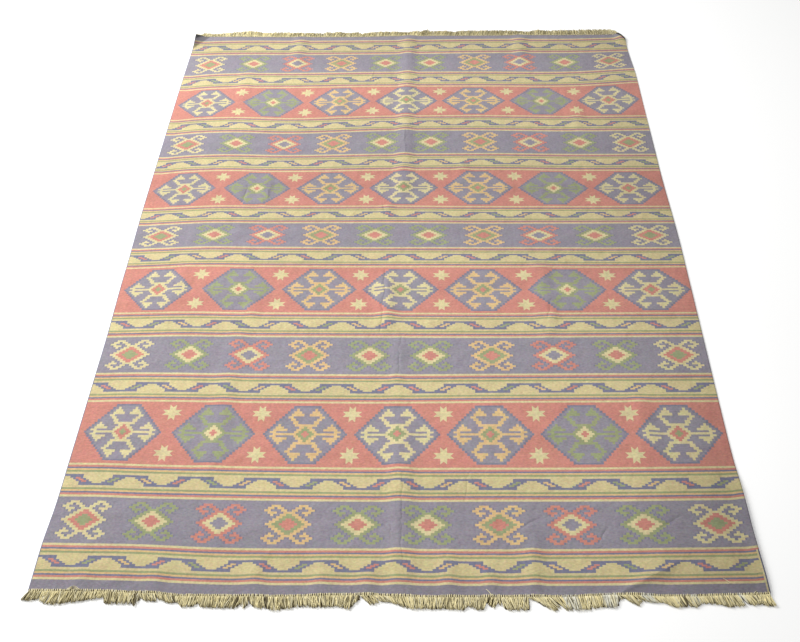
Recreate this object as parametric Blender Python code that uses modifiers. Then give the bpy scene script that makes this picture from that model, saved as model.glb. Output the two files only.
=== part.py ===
"""A flat-woven rug lying open on a floor: one woven field, and a warp fringe at each end.

Metres, +Z up. X runs across the rug from the left selvedge, and Y along it from the near end
to the far end. The finished model stands centred on the origin, with its lowest face at z = 0.
"""

import random
from collections import namedtuple

import bmesh
import bpy
from mathutils import Vector

# Driving sizes of the woven field
WIDTH = 1.824
LENGTH = 2.708
CLOTH_THICKNESS = 0.0035

# Driving sizes of the fringes
STRANDS_PER_END = 140
STRAND_HEIGHT = 0.003
STRAND_WIDTH = 0.0034
STRAND_TIP_WIDTH = 0.0018
BACKING_DEPTH = 0.004
BACKING_GAP = 0.0004
LEAST_STRAND_PITCH = 0.0048
GATHER = 0.3
LENGTH_SCATTER = 0.10
TIP_SCATTER = 0.0012
ROOT_STRAIGHTNESS = 0.35

# Spacing of the field's grid, wide on flat cloth and narrow on creases and near the edges
WIDE_SPACING = 0.062
NARROW_SPACING = 0.022
EDGE_ZONE = 0.066

# How far each selvedge stands to the right of its straight line, along the rug
EdgePoint = namedtuple("EdgePoint", "at offset")
LEFT_SELVEDGE = (
    EdgePoint(0.00, -0.012),
    EdgePoint(0.12, -0.011),
    EdgePoint(0.28, -0.004),
    EdgePoint(0.85, -0.004),
    EdgePoint(1.20, -0.009),
    EdgePoint(1.55, -0.013),
    EdgePoint(2.25, -0.013),
    EdgePoint(2.71, -0.009),
)
RIGHT_SELVEDGE = (
    EdgePoint(0.00, 0.012),
    EdgePoint(0.22, 0.006),
    EdgePoint(0.50, 0.001),
    EdgePoint(1.30, 0.002),
    EdgePoint(1.80, -0.006),
    EdgePoint(2.35, -0.008),
    EdgePoint(2.62, -0.018),
    EdgePoint(2.71, -0.016),
)

# How far each woven end stands to the far side of its straight line, across the rug
NEAR_END = (
    EdgePoint(0.00, -0.005),
    EdgePoint(0.16, -0.005),
    EdgePoint(0.30, -0.011),
    EdgePoint(0.38, -0.019),
    EdgePoint(0.61, -0.023),
    EdgePoint(0.83, -0.018),
    EdgePoint(1.00, -0.027),
    EdgePoint(1.30, -0.025),
    EdgePoint(1.46, -0.018),
    EdgePoint(1.824, -0.020),
)
FAR_END = (
    EdgePoint(0.00, 0.012),
    EdgePoint(0.15, 0.009),
    EdgePoint(0.40, 0.006),
    EdgePoint(0.66, 0.008),
    EdgePoint(0.85, 0.015),
    EdgePoint(1.10, 0.019),
    EdgePoint(1.50, 0.023),
    EdgePoint(1.824, 0.030),
)

# The far right corner is turned under along this diagonal
TUCKED_CORNER_ACROSS = 0.028
TUCKED_CORNER_ALONG = 0.044

# Soft ridges of the cloth: each runs from one point to another, x across and y along
Crease = namedtuple("Crease", "from_x from_y to_x to_y height half_width")
CREASES = (
    # fold lines of the rug as it was stored, folded in four across
    Crease(0.918, -0.06, 0.905, 0.62, 0.0055, 0.050),
    Crease(0.861, 0.90, 0.838, 1.24, 0.0060, 0.048),
    Crease(0.897, 1.55, 0.904, 2.78, 0.0065, 0.046),
    Crease(0.392, 0.34, 0.400, 1.02, 0.0032, 0.048),
    Crease(0.446, 2.42, 0.450, 2.78, 0.0050, 0.042),
    Crease(1.352, 0.86, 1.346, 1.30, 0.0034, 0.046),
    Crease(1.372, 2.40, 1.376, 2.78, 0.0052, 0.042),
    # ripples at the near end
    Crease(0.547, -0.06, 0.540, 0.14, 0.0040, 0.046),
    Crease(0.728, -0.06, 0.742, 0.16, 0.0034, 0.044),
    Crease(1.237, -0.06, 1.246, 0.30, 0.0040, 0.048),
    Crease(1.455, -0.06, 1.610, 0.14, 0.0046, 0.046),
    # the lifted selvedge at the near right corner, and the curled far left corner
    Crease(1.838, -0.06, 1.828, 0.42, 0.0075, 0.046),
    Crease(-0.018, 2.60, -0.014, 2.80, 0.0160, 0.064),
)
CREASE_ZONES_ACROSS = (0.450, 0.547, 0.735, 0.908, 1.240, 1.374)
CREASE_END_FADE = 0.12

# Locks of the fringes: where each starts at its root, how far its tips are swept to the right,
# and how long it is
Lock = namedtuple("Lock", "root sweep length")
NEAR_LOCKS = (
    Lock(0.006, -0.012, 0.031),
    Lock(0.042, -0.004, 0.039),
    Lock(0.150, 0.003, 0.022),
    Lock(0.196, 0.002, 0.038),
    Lock(0.256, 0.004, 0.040),
    Lock(0.280, 0.012, 0.027),
    Lock(0.366, 0.006, 0.038),
    Lock(0.416, 0.004, 0.042),
    Lock(0.538, -0.002, 0.044),
    Lock(0.560, 0.006, 0.043),
    Lock(0.708, -0.006, 0.042),
    Lock(0.826, 0.020, 0.034),
    Lock(0.924, 0.008, 0.039),
    Lock(1.092, -0.005, 0.042),
    Lock(1.160, -0.002, 0.043),
    Lock(1.236, 0.018, 0.047),
    Lock(1.300, 0.003, 0.045),
    Lock(1.392, -0.010, 0.042),
    Lock(1.456, 0.010, 0.033),
    Lock(1.512, 0.004, 0.026),
    Lock(1.574, 0.006, 0.040),
    Lock(1.642, 0.010, 0.030),
    Lock(1.706, 0.004, 0.040),
    Lock(1.770, 0.014, 0.042),
    Lock(1.826, 0.014, 0.042),
)
FAR_LOCKS = (
    Lock(0.024, -0.008, 0.022),
    Lock(0.074, 0.006, 0.030),
    Lock(0.126, 0.006, 0.040),
    Lock(0.196, 0.004, 0.050),
    Lock(0.262, -0.004, 0.041),
    Lock(0.420, 0.004, 0.040),
    Lock(0.530, 0.003, 0.046),
    Lock(0.560, 0.012, 0.048),
    Lock(0.630, 0.008, 0.042),
    Lock(0.706, 0.010, 0.044),
    Lock(0.890, 0.014, 0.050),
    Lock(0.940, 0.016, 0.056),
    Lock(0.986, 0.008, 0.044),
    Lock(1.096, 0.014, 0.050),
    Lock(1.392, 0.016, 0.050),
    Lock(1.470, 0.014, 0.046),
    Lock(1.550, 0.018, 0.046),
    Lock(1.776, 0.010, 0.040),
)

COLLECTION_NAME = "kilim_rug"
FIELD_COLOUR = (0.40, 0.30, 0.27, 1.0)
FRINGE_COLOUR = (0.61, 0.52, 0.22, 1.0)
WOOL_ROUGHNESS = 0.95


def smooth_step(t):
    """Eases from 0 to 1."""
    t = min(max(t, 0.0), 1.0)
    return t * t * (3.0 - 2.0 * t)


def offset_at(table, at):
    """Offset of an edge at a place along it, eased from one row of its table to the next."""
    for start, end in zip(table, table[1:]):
        if at <= end.at:
            share = smooth_step((at - start.at) / (end.at - start.at))
            return start.offset + (end.offset - start.offset) * share
    return table[-1].offset


def crease_height(x, y):
    """Height of the cloth's underside over the floor, exactly 0 away from every crease."""
    height = 0.0
    for crease in CREASES:
        start = Vector((crease.from_x, crease.from_y))
        run = Vector((crease.to_x, crease.to_y)) - start
        point = Vector((x, y)) - start
        along = point.dot(run) / run.length
        across = abs(point.cross(run)) / run.length
        if across < crease.half_width:
            ends = min(along, run.length - along) / CREASE_END_FADE
            profile = (1.0 - (across / crease.half_width) ** 2) ** 2
            height = max(height, crease.height * profile * smooth_step(ends))
    return height


def grid_stations(length, creases):
    """Places of the grid's lines, close together at both edges and on the creases."""
    fine = [(0.0, EDGE_ZONE), (length - EDGE_ZONE, length)]
    fine += [(at - 2 * NARROW_SPACING, at + 2 * NARROW_SPACING) for at in creases]
    fine.sort()
    stations = [0.0]
    for (start, end), following in zip(fine, fine[1:] + [None]):
        steps = round((end - start) / NARROW_SPACING)
        stations += [start + (end - start) * step / steps for step in range(1, steps + 1)]
        if following:
            gap = following[0] - end
            steps = max(1, round(gap / WIDE_SPACING))
            stations += [end + gap * step / steps for step in range(1, steps + 1)]
    return stations


ACROSS_STATIONS = grid_stations(WIDTH, CREASE_ZONES_ACROSS)
ALONG_STATIONS = grid_stations(LENGTH, ())


def end_line(table, x):
    """Offset of a woven end at x, straight between the grid's lines as the cloth's edge is."""
    for start, end in zip(ACROSS_STATIONS, ACROSS_STATIONS[1:]):
        if x <= end:
            share = (x - start) / (end - start)
            low = offset_at(table, start)
            return low + (offset_at(table, end) - low) * share
    return offset_at(table, x)


def cloth_point(x, y):
    """Place on the floor plan of the point x across and y along the straight cloth."""
    left = offset_at(LEFT_SELVEDGE, y)
    right = offset_at(RIGHT_SELVEDGE, y)
    near = end_line(NEAR_END, x)
    far = end_line(FAR_END, x)
    return Vector((x + left + (right - left) * x / WIDTH, y + near + (far - near) * y / LENGTH, 0.0))


def wool(name, colour):
    """Matt wool of one colour."""
    material = bpy.data.materials.new(name)
    material.use_nodes = True
    shader = material.node_tree.nodes["Principled BSDF"]
    shader.inputs["Base Color"].default_value = colour
    shader.inputs["Roughness"].default_value = WOOL_ROUGHNESS
    shader.inputs["Metallic"].default_value = 0.0
    return material


def new_object(name, bm, collection, material):
    """Makes an object in the collection from a flat sheet whose faces look up."""
    mesh = bpy.data.meshes.new(name)
    bm.normal_update()
    bm.to_mesh(mesh)
    bm.free()
    mesh.materials.append(material)
    item = bpy.data.objects.new(name, mesh)
    collection.objects.link(item)
    return item


def thicken(item, thickness):
    """Gives a sheet its thickness, upwards from its underside."""
    solidify = item.modifiers.new("thickness", "SOLIDIFY")
    solidify.thickness = thickness
    solidify.offset = 1.0


def build_field(collection):
    """The woven field: one sheet on its grid, with its corner turned under."""
    columns, rows = len(ACROSS_STATIONS), len(ALONG_STATIONS)
    bm = bmesh.new()
    made = bmesh.ops.create_grid(bm, x_segments=columns - 1, y_segments=rows - 1, size=0.5)
    for vertex in made["verts"]:
        column = round((vertex.co.x + 0.5) * (columns - 1))
        row = round((vertex.co.y + 0.5) * (rows - 1))
        x, y = ACROSS_STATIONS[column], ALONG_STATIONS[row]
        vertex.co = cloth_point(x, y)
        vertex.co.z = crease_height(x, y)
    corner = cloth_point(WIDTH, LENGTH)
    bmesh.ops.bisect_plane(
        bm,
        geom=bm.verts[:] + bm.edges[:] + bm.faces[:],
        plane_co=corner - Vector((TUCKED_CORNER_ACROSS, 0.0, 0.0)),
        plane_no=Vector((TUCKED_CORNER_ALONG, TUCKED_CORNER_ACROSS, 0.0)),
        clear_outer=True,
    )
    field = new_object("kilim_field", bm, collection, wool("kilim_wool", FIELD_COLOUR))
    thicken(field, CLOTH_THICKNESS)
    return field


def lock_of(locks, x):
    """The lock that a root at x belongs to, and the place of that lock's middle."""
    for lock, following in zip(locks, locks[1:]):
        if x < following.root:
            return lock, (lock.root + following.root) / 2
    return locks[-2], (locks[-2].root + locks[-1].root) / 2


def strand_shapes(locks, seed):
    """Root, sweep to the right and length of each strand, kept clear of its neighbours."""
    scatter = random.Random(seed)
    first, last = locks[0].root, locks[-1].root
    pitch = (last - first) / STRANDS_PER_END
    shapes = []
    least_tip = -WIDTH
    for index in range(STRANDS_PER_END):
        root = first + (index + 0.5) * pitch
        lock, middle = lock_of(locks, root)
        tip = root + lock.sweep + (middle - root) * GATHER
        tip += scatter.uniform(-TIP_SCATTER, TIP_SCATTER)
        tip = max(tip, least_tip)
        least_tip = tip + LEAST_STRAND_PITCH
        length = lock.length * (1.0 + scatter.uniform(-LENGTH_SCATTER, LENGTH_SCATTER))
        shapes.append((root, tip - root, length))
    return shapes


def build_fringe(name, collection, locks, end_table, end_y, outward, seed):
    """One fringe: strands laid on the floor, their roots fused into a narrow backing strip."""
    bm = bmesh.new()

    def backing_point(x, depth):
        place = cloth_point(x, end_y)
        return Vector((place.x, end_y + end_line(end_table, x) + outward * depth, 0.0))

    def add_face(corners):
        bm.faces.new(corners if outward < 0 else corners[::-1])

    def add_line(x):
        """A pair of points across the strip: at the cloth, and at the strands' roots."""
        inner = bm.verts.new(backing_point(x, BACKING_GAP))
        outer = bm.verts.new(backing_point(x, BACKING_GAP + BACKING_DEPTH))
        return inner, outer

    before = None
    for root, sweep, length in strand_shapes(locks, seed):
        left = add_line(root - STRAND_WIDTH / 2)
        right = add_line(root + STRAND_WIDTH / 2)
        if before:
            add_face([before[0], before[1], left[1], left[0]])
        add_face([left[0], left[1], right[1], right[0]])
        low_left, low_right = left[1], right[1]
        for share, width in ((0.5, STRAND_WIDTH), (1.0, STRAND_TIP_WIDTH)):
            bend = ROOT_STRAIGHTNESS * share + (1.0 - ROOT_STRAIGHTNESS) * share * share
            middle = backing_point(root, BACKING_GAP + BACKING_DEPTH + length * share)
            middle.x += sweep * bend
            high_left = bm.verts.new(middle - Vector((width / 2, 0.0, 0.0)))
            high_right = bm.verts.new(middle + Vector((width / 2, 0.0, 0.0)))
            add_face([low_left, high_left, high_right, low_right])
            low_left, low_right = high_left, high_right
        before = right
    fringe = new_object(name, bm, collection, wool(name + "_yarn", FRINGE_COLOUR))
    thicken(fringe, STRAND_HEIGHT)
    return fringe


def centre_on_origin(items):
    """Moves the whole rug so that its box is centred on the origin, with its base at z = 0."""
    graph = bpy.context.evaluated_depsgraph_get()
    corners = [Vector(corner) for item in items for corner in item.evaluated_get(graph).bound_box]
    low = [min(corner[axis] for corner in corners) for axis in range(3)]
    high = [max(corner[axis] for corner in corners) for axis in range(3)]
    shift = Vector((-(low[0] + high[0]) / 2, -(low[1] + high[1]) / 2, -low[2]))
    for item in items:
        for vertex in item.data.vertices:
            vertex.co += shift


def main():
    for item in list(bpy.data.objects):
        bpy.data.objects.remove(item, do_unlink=True)
    collection = bpy.data.collections.new(COLLECTION_NAME)
    bpy.context.scene.collection.children.link(collection)
    rug = [
        build_field(collection),
        build_fringe("fringe_near", collection, NEAR_LOCKS, NEAR_END, 0.0, -1, seed=3),
        build_fringe("fringe_far", collection, FAR_LOCKS, FAR_END, LENGTH, 1, seed=8),
    ]
    centre_on_origin(rug)


main()
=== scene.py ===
"""A flat-woven kilim rug lying open on a pale floor: its cloth, its two fringes and the studio.

All sizes are in metres, apart from the tables marked MM, which are in millimetres. Places on the
cloth are written as on the straight rug: x across from the left selvedge, y along from the near
end. PLAN moves them into the centred frame.
"""

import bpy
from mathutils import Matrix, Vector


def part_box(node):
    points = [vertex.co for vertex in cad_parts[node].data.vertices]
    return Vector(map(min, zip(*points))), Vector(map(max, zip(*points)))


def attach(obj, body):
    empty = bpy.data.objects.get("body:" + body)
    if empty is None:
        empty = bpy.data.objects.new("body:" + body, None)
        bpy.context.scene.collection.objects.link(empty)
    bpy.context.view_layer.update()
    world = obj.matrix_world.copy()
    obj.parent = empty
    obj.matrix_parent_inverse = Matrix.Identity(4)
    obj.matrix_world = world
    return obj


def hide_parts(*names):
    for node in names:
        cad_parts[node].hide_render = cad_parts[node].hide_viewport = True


bl_info = {
    "name": "Kilim Rug",
    "version": (1, 0, 0),
    "blender": (4, 5, 0),
    "location": "View3D > Sidebar > Kilim",
    "description": "Dresses the packed frame of a kilim rug as woven wool",
    "category": "Add Mesh",
}

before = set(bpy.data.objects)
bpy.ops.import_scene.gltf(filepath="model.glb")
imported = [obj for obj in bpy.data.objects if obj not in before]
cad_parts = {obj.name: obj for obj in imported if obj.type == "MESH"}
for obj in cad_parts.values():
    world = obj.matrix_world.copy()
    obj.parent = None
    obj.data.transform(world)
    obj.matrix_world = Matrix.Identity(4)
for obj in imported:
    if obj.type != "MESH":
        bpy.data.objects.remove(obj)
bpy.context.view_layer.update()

import math
from collections import namedtuple

import bmesh
import bpy
import numpy as np
from mathutils import Vector

MM = 1000
PLAIN = 1


def rows_of(kind, unit, *rows):
    """Rows of named numbers, given in millimetres (unit MM) or as they are (unit PLAIN)."""
    return [kind(*(value / unit for value in row)) for row in rows]


# The cloth's plan, as in the solids
WIDTH = 1.824
LENGTH = 2.708
CLOTH_THICKNESS = 0.0035
TUCKED_CORNER_ACROSS = 0.028
TUCKED_CORNER_ALONG = 0.044

# How far each edge stands to the right, or to the far side, of its straight line
EdgePoint = namedtuple("EdgePoint", "at offset")
LEFT_SELVEDGE = rows_of(
    EdgePoint, MM, (0, -8.5), (120, -9.5), (280, -4), (850, -4), (1200, -9), (1550, -13),
    (2250, -13), (2710, -9))
RIGHT_SELVEDGE = rows_of(
    EdgePoint, MM, (0, 12), (220, 6), (500, 1), (1300, 2), (1800, -6), (2350, -8), (2620, -18),
    (2710, -16))
NEAR_END = rows_of(
    EdgePoint, MM, (0, -6), (160, -7), (300, -13), (380, -21), (610, -24), (830, -20), (920, -25),
    (1000, -27), (1300, -27), (1460, -21), (1580, -26.5), (1824, -22))
FAR_END = rows_of(
    EdgePoint, MM, (0, 12), (150, 9), (400, 6), (660, 8), (850, 15), (1100, 19), (1500, 23),
    (1824, 30))

# Where the straight rug stands in the frame
PLAN = Vector((
    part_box("kilim_field")[0].x - min(point.offset for point in LEFT_SELVEDGE),
    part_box("kilim_field")[0].y - min(point.offset for point in NEAR_END),
    0.0,
))

# Soft ridges of the cloth, as in the solids
Crease = namedtuple("Crease", "from_x from_y to_x to_y height half_width")
CREASES = rows_of(
    Crease, MM, (918, -60, 905, 620, 5.5, 50), (861, 900, 838, 1240, 6, 48),
    (897, 1550, 904, 2780, 6.5, 46), (392, 340, 400, 1020, 3.2, 48), (446, 2420, 450, 2780, 5, 42),
    (1352, 860, 1346, 1300, 3.4, 46), (1372, 2400, 1376, 2780, 5.2, 42),
    (547, -60, 540, 140, 4, 46), (728, -60, 742, 160, 3.4, 44), (1237, -60, 1246, 300, 4, 48),
    (1455, -60, 1610, 140, 4.6, 46), (1838, -60, 1828, 420, 7.5, 46),
    (-18, 2600, -14, 2800, 16, 64))

# Ripples that the solids leave out, low and narrow
RIPPLES = rows_of(
    Crease, MM, (908, -60, 900, 620, 6.4, 34), (560, -60, 548, 150, 6.8, 40),
    (712, -60, 724, 150, 6, 36), (828, -60, 836, 130, 6.2, 34), (1037, -60, 1030, 170, 6.5, 34),
    (1134, -60, 1142, 140, 5.2, 32), (1246, -60, 1250, 240, 6.5, 36),
    (1505, -60, 1530, 100, 5.2, 30), (300, -60, 312, 140, 4.4, 40), (120, -60, 128, 120, 3.9, 40),
    (888, 600, 897, 950, 3, 30), (861, 900, 846, 1240, 8, 38), (830, 1460, 862, 1620, 4.8, 34),
    (884, 1760, 886, 2060, 5.8, 30), (410, 1500, 418, 1760, 4.2, 30),
    (436, 920, 428, 1140, 3.8, 32), (336, 1340, 344, 1480, 3.6, 32),
    (1350, 860, 1372, 1100, 4.6, 32), (1610, 400, 1585, 720, 4, 42),
    (180, 1020, 196, 1280, 3.2, 42), (1120, 1620, 1108, 1860, 3.6, 40),
    (640, 2060, 652, 2340, 3.8, 42), (1560, 1960, 1548, 2260, 3.8, 40),
    (250, 2140, 262, 2500, 3.4, 42), (1838, 2580, 1834, 2860, 7, 62),
    (1808, 2580, 1806, 2860, 10.5, 34))
CREASE_END_FADE = 0.12

# Fine creases, as troughs and ridges of the surface
NEAR_RIGHT_CREASE = Crease(1.440, -0.031, 1.640, 0.080, 0.0026, 0.022)
WRINKLES = rows_of(
    Crease, MM, (834, 900, 842, 1220, -2.2, 12), (887, 1840, 885, 2020, 1.4, 10),
    (336, 1680, 324, 1550, -1.6, 10), (413, 1580, 418, 1670, 1.4, 9),
    (820, 1580, 836, 1480, -1.4, 12), (1348, 950, 1374, 1070, -1.4, 10),
    (694, 1470, 735, 1530, 1.2, 10), (735, 980, 772, 930, 1.2, 10),
    (740, 2350, 755, 2460, 1.2, 10), (1080, 260, 1100, 380, -1, 10),
    (1210, 160, 1295, 223, -1.2, 10), (1215, 172, 1425, 275, -1.2, 14),
    (1420, 125, 1463, 190, -1.8, 10), (1575, 165, 1665, 225, -1.6, 14),
    (884, 140, 886, 200, -1.6, 8), (905, 195, 896, 175, 1.4, 6), (918, 60, 913, 360, -1.2, 8),
    (892, 720, 898, 920, -1.2, 9))
WRINKLES.append(NEAR_RIGHT_CREASE)
WRINKLE_END_FADE = 0.03

# Ragged tips of the fringes: places across the rug's plan, and how far the tips reach there
NEAR_TIPS = rows_of(
    EdgePoint, MM, (-24, 30), (5, 31), (26, 25), (30, 36), (65, 43), (107, 36), (150, 28),
    (182, 21), (189, 39), (254, 35), (264, 43), (275, 18), (289, 26), (314, 27), (324, 21),
    (346, 28), (368, 22), (380, 36), (411, 33), (417, 22), (426, 36), (513, 38), (523, 24),
    (531, 40), (546, 23), (563, 37), (588, 36), (606, 46), (625, 40), (690, 32), (700, 36),
    (763, 36), (792, 44), (810, 24), (820, 10), (828, 13), (842, 31), (857, 30), (868, 21),
    (897, 23), (942, 39), (1029, 37), (1072, 41), (1087, 30), (1106, 41), (1121, 40), (1129, 19),
    (1146, 38), (1156, 22), (1180, 41), (1233, 41), (1239, 9), (1256, 18), (1298, 46), (1316, 30),
    (1326, 41), (1371, 44), (1415, 37), (1450, 42), (1456, 24), (1473, 14), (1490, 27), (1505, 36),
    (1516, 21), (1545, 25), (1567, 23), (1595, 36), (1625, 33), (1647, 37), (1661, 25), (1700, 28),
    (1728, 38), (1767, 36), (1775, 27), (1790, 36), (1804, 31), (1850, 42))
FAR_TIPS = rows_of(
    EdgePoint, MM, (10, 12), (20, 30), (51, 27), (63, 18), (93, 28), (157, 41), (220, 52),
    (250, 46), (275, 36), (347, 42), (474, 36), (525, 31), (550, 42), (567, 35), (592, 46),
    (622, 34), (677, 40), (690, 27), (749, 42), (834, 40), (889, 31), (927, 49), (939, 38),
    (973, 56), (982, 39), (1045, 43), (1088, 30), (1109, 43), (1257, 45), (1342, 40), (1405, 31),
    (1430, 48), (1498, 38), (1532, 44), (1752, 43), (1790, 14))

# How far the strands lean to the right on their way to the tips, by the places of their roots
NEAR_LEAN = rows_of(
    EdgePoint, MM, (0, -10), (30, -7), (110, -5), (180, 0), (268, 1), (285, 9), (345, 8),
    (372, -3), (515, -3), (560, 5), (610, 9), (650, 1), (700, 7), (760, 0), (805, -8), (822, 16),
    (860, 14), (930, 9), (1000, -2), (1105, -6), (1150, -3), (1165, 12), (1225, -1), (1242, 22),
    (1290, 24), (1320, 10), (1440, 4), (1462, 18), (1560, 12), (1640, 6), (1730, 14), (1824, 6))
FAR_LEAN = rows_of(
    EdgePoint, MM, (0, 0), (300, 4), (900, 10), (1300, 12), (1824, -10))

# How the yarn's tone changes along each fringe; the far one darkens to the right as painted shade
NEAR_FADE = rows_of(
    EdgePoint, PLAIN, (0, 0.85), (0.28, 0.85), (0.31, 0.76), (0.4, 0.76), (0.43, 0.92),
    (0.7, 0.94), (1.2, 0.92), (1.32, 1.06), (1.824, 1.1))
FAR_FRINGE_PAINTED_SHADE = rows_of(EdgePoint, PLAIN, (0, 1.02), (1.824, 0.7))

# Bleached stretches of the near fringe, and gaps where the parted strands get painted shade
Stretch = namedtuple("Stretch", "start stop")
PALE_STRETCHES = rows_of(
    Stretch, MM, (1312, 1350), (1408, 1448), (1502, 1533), (1628, 1643), (1742, 1752))
GAP_STRETCHES = rows_of(
    Stretch, MM, (264, 270), (358, 364), (515, 521), (540, 545), (583, 591), (796, 804),
    (1131, 1138), (1604, 1611))

# Strands that lie over the cloth by the near end: ends on the straight cloth, and how far aside
# their middles bulge
LooseStrand = namedtuple("LooseStrand", "from_x from_y to_x to_y bulge width")
LOOSE_STRANDS = rows_of(
    LooseStrand, MM, (94, -2, 128, -2, 11, 3), (97, -2, 125, -2, 8, 3), (100, -2, 122, -2, 5, 3),
    (1126, 16, 1140, -3, 1, 2.6), (1716, 44, 1732, 29, 1, 1.8), (1790, 6, 1780, -4, 2, 2.6))

# Standard heights of the woven bands, and the order in which they repeat
MEANDER_HEIGHT = 0.112
VIOLET_HEIGHT = 0.148
CORAL_HEIGHT = 0.222
BAND_HEIGHTS = (MEANDER_HEIGHT, VIOLET_HEIGHT, MEANDER_HEIGHT, CORAL_HEIGHT)
CYCLE_HEIGHT = 2 * MEANDER_HEIGHT + VIOLET_HEIGHT + CORAL_HEIGHT

# The bands as woven, from the near end: the height of each one's far edge over the near end, and
# how far its motifs stand to the right at its left, middle and right
NEAR_EDGE = 0.012
Band = namedtuple("Band", "far_edge left middle right")
BANDS = rows_of(
    Band, MM, (122, -2, -3, 2), (272, 0, -2, 11), (388, 7, 2, 3), (622, 5, 3, 0), (739, 3, 2, -1),
    (892, 2, 3, 7), (1004, 6, 2, 4), (1219, -1, -1, 6), (1323, 0, -3, 2), (1447, -4, -4, 0),
    (1545, 1, -3, -1), (1751, -4, -2, 0), (1857, -7, 2, -5), (2000, 0, 2, -2), (2106, 2, -2, -7),
    (2317, -5, -3, -7), (2431, -6, -3, -8), (2575, 2, -4, -11), (2693, -1, -9, -19))
DRIFT_STATIONS = (0.15, 0.905, 1.69)

# How far the weft bows up at places across the cloth, in millimetres: a row for each meander
# band from the near end
BOW_STATIONS = (0.017, 0.091, 0.205, 0.433, 0.798, 1.208, 1.573, 1.790)
WEFT_BOW = (
    (13, 11, 9, -3, -7, -11, -8, -5),
    (12, 11, 6, -1, -8, -9, -8, -5),
    (3, 5, 4, -1, -5, -3, -2, -1),
    (0, 2, 5, 1, -2, -4, -2, -1),
    (-6, -2, 5, 3, 1, 0, -2, -1),
    (-10, -4, 5, 4, 5, 1, 2, 2),
    (-17, -5, 3, -3, 5, 9, 3, 4),
    (-21, -8, 0, -9, 8, 12, 6, 11),
    (-26, -13, -6, -4, 5, 7, 8, 33),
    (-17, -12, -9, -9, -4, 7, 8, 19),
)

# How far the warps stand to the right of an even spacing
WARP_DRIFT = rows_of(
    EdgePoint, MM, (0, 12.5), (185, 8), (367, 4.6), (549, 3), (732, 1), (914, 0), (1097, 0.6),
    (1279, 4), (1461, 8.6), (1644, 12), (1824, 15))

# Places of the motifs on the even warps
MEANDER_START = -0.0217
MEANDER_PITCH = 0.1830
MEDALLION_START = -0.0234
MEDALLION_PITCH = 0.2617

# Stripes of a meander band: the dye, and how far it reaches from the band's middle line
Stripe = namedtuple("Stripe", "dye reach")
MEANDER_STRIPES = (
    Stripe("coral", 0.0490),
    Stripe("ribbon", 0.0428),
    Stripe("orange", 0.0376),
    Stripe("green", 0.0319),
    Stripe("straw", 0.0256),
)

# The stepped ribbon of the meander
RIBBON_REACH = 0.0181
RIBBON_ROW = 0.0057
RIBBON_STEP = 0.0091
RIBBON_HALF_WIDTH = 0.0183
RIBBON_OVERLAP = 0.0046
INSET_ROW = 0.0055
INSET_HALF_WIDTH = 0.0068
RIBBON_INSETS = "cgocgocgoccocgocgocg"
INSET_DYES = {"c": "coral", "g": "green", "o": "orange"}

# Hooked diamond: one row of the chart for each woven step from its middle, half widths and
# spans in columns of the weave
HOOKED_COLUMN = 0.0081
HOOKED_ROW = 0.00724
HookedRow = namedtuple("HookedRow", "frame ring centre hook_from hook_to barb_from barb_to")
HOOKED_DIAMOND = rows_of(
    HookedRow, PLAIN, (7.6, 5.4, 3, 0, 0, 0, 0), (6.4, 4.3, 2, 0, 0, 0, 0),
    (5.3, 3.2, 1, 0, 0, 0, 0), (4.2, 2.1, 0, 0, 0, 0, 0), (3.1, 1, 0, 0, 0, 5.2, 6.2),
    (2, 0, 0, 0, 0, 4.1, 7.2), (0, 0, 0, 0.8, 2.8, 6.2, 8.4), (0, 0, 0, 1.9, 4.1, 5.1, 7.3),
    (0, 0, 0, 3, 6.1, 0, 0))

# Painted shade in the slits beside a motif, over this many columns
SLIT_SHADE = 0.50
SLIT_DEPTH = 0.7

# Stepped medallion: each row of the chart reaches to a height from its middle, with half widths
# and one span in columns of the weave
MEDALLION_COLUMN = 0.00816
MedallionRow = namedtuple("MedallionRow", "reach outline frame ring centre arm_from arm_to")
MEDALLION = rows_of(
    MedallionRow, PLAIN, (0.0039, 14.9, 11.4, 3.2, 1.3, 0, 0),
    (0.0106, 14.2, 4, 2.4, 0.6, 10.3, 12.6), (0.0187, 13.6, 3.3, 1.4, 0, 6.4, 11.4),
    (0.0267, 12.6, 2.3, 0.6, 0, 7.8, 10.7), (0.0351, 11.8, 4, 0, 0, 8.9, 9.8),
    (0.0465, 10.9, 0, 0, 0, 2.8, 4.7), (0.0553, 9.8, 0, 0, 0, 3.8, 5.6),
    (0.063, 8.9, 0, 0, 0, 4.7, 6.6), (0.0726, 8, 0, 0, 0, 1, 5.5), (0.0815, 7, 0, 0, 0, 1.9, 4.7),
    (0.091, 6.1, 0, 0, 0, 2.8, 3.8), (0.1014, 5, 0, 0, 0, 0, 0))
MEDALLION_RIM = 0.9
MEDALLION_END_RIM = 0.0052
MEDALLION_NARROWING = (0.915, 0.98, 0.985, 1.0, 1.0, 1.0, 1.0)

# Eight-pointed star: a cross of two bars whose ends are notched
STAR_HEIGHT = 0.0718
STAR_BAR = 0.0094
STAR_REACH = 0.0284
STAR_NOTCH = 0.0095

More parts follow.
